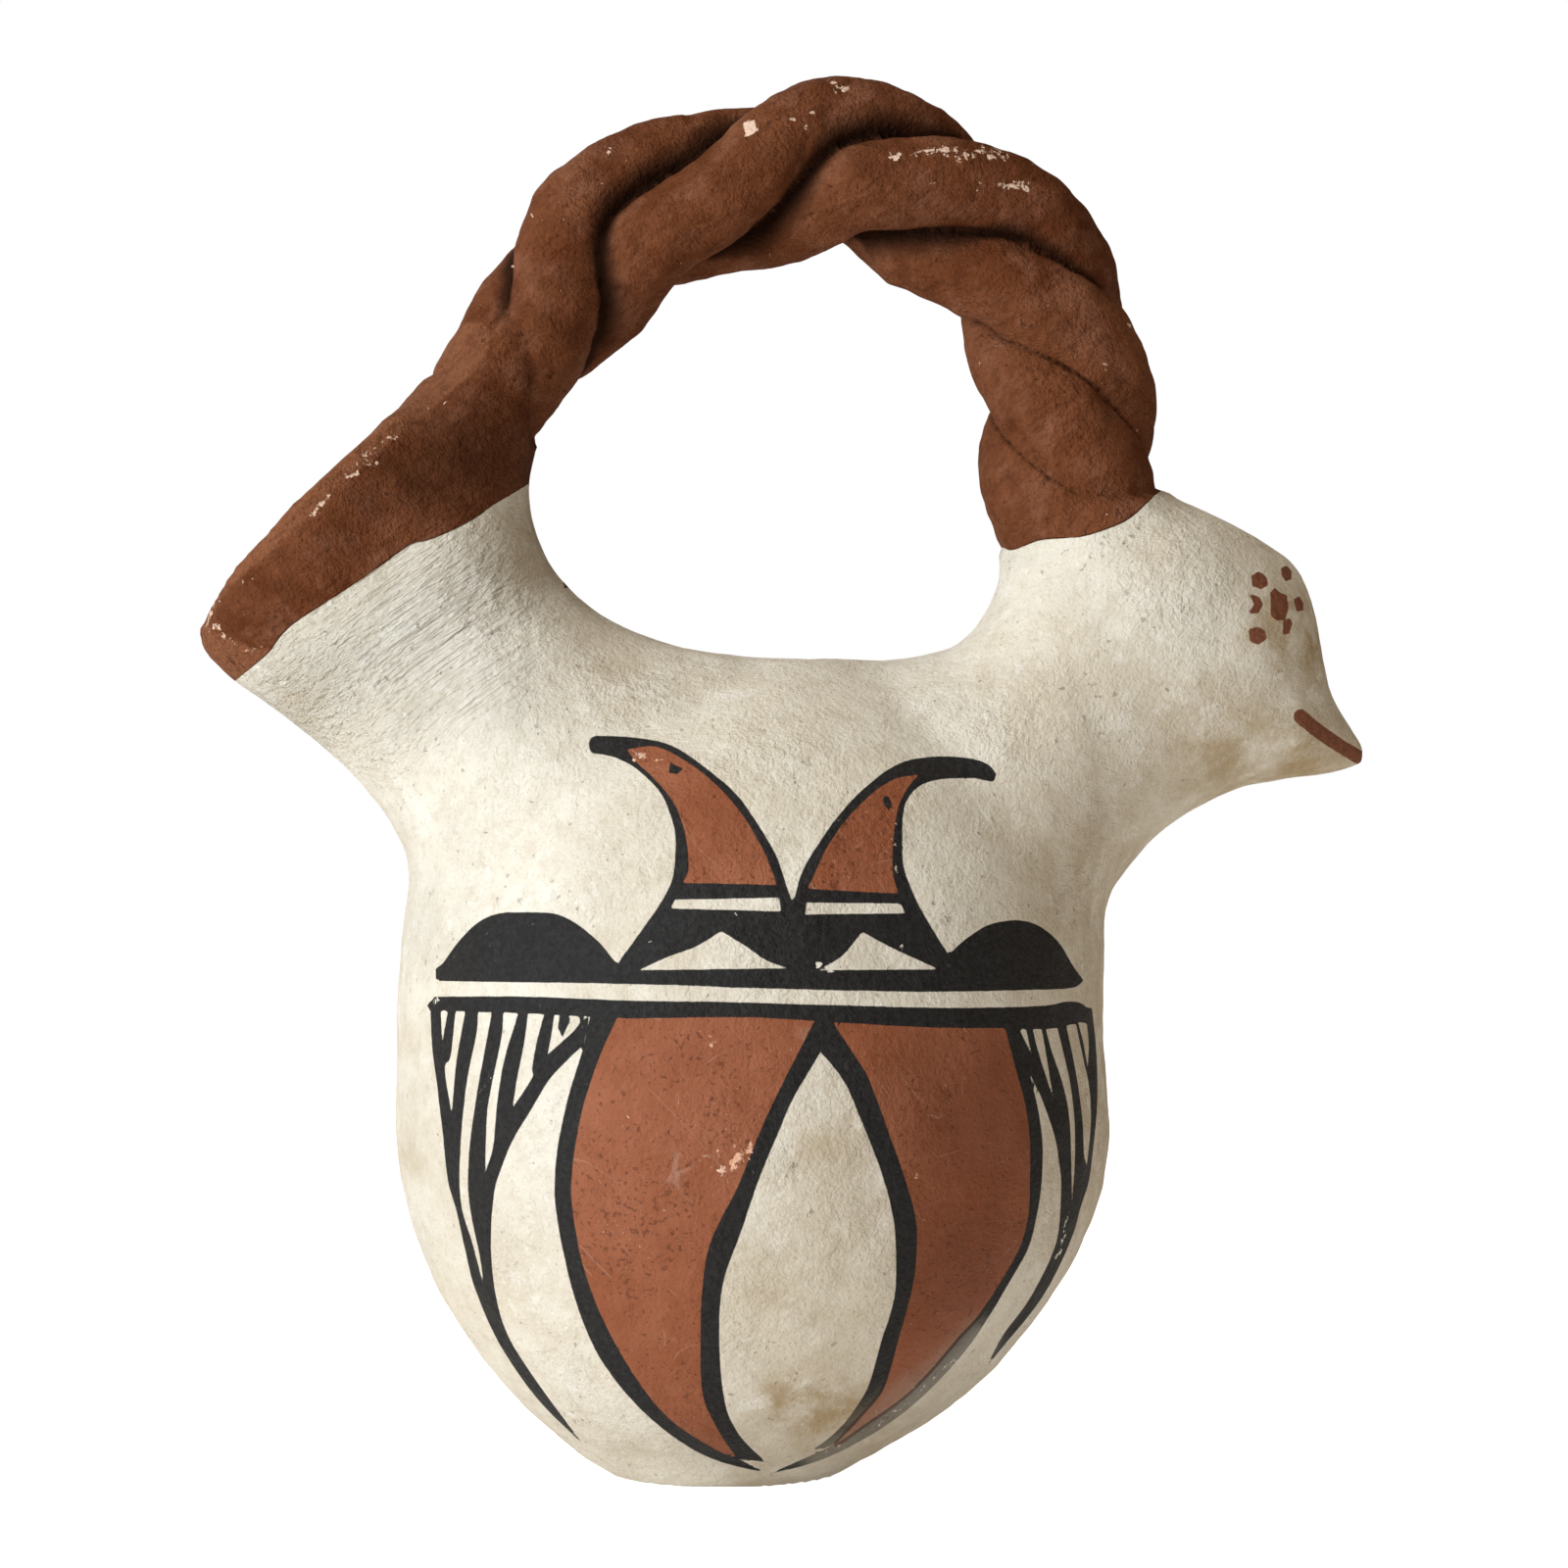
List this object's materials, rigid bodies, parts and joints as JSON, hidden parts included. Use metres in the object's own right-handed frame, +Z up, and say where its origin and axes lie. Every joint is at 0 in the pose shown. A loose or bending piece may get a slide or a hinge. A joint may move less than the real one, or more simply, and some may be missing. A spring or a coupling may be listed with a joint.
{
  "type": "bird effigy pot",
  "caption": "Hand-built clay pot in the form of a bird: round hollow body, flared tail that holds the mouth, beaked head, and a handle of twisted coils.",
  "frame": {"origin": "at foot level, under the middle of the pot's length and depth", "axes": "+Z up, +X the way the bird looks, +Y away from the side that the picture shows"},
  "size_m": [0.1656, 0.098, 0.1979],
  "materials": {
    "slipped_clay": "matte"
  },
  "bodies": {
    "root": {"pot_lower_body": "slipped_clay", "pot_tail_head_and_handle": "slipped_clay"}
  },
  "joints": []
}
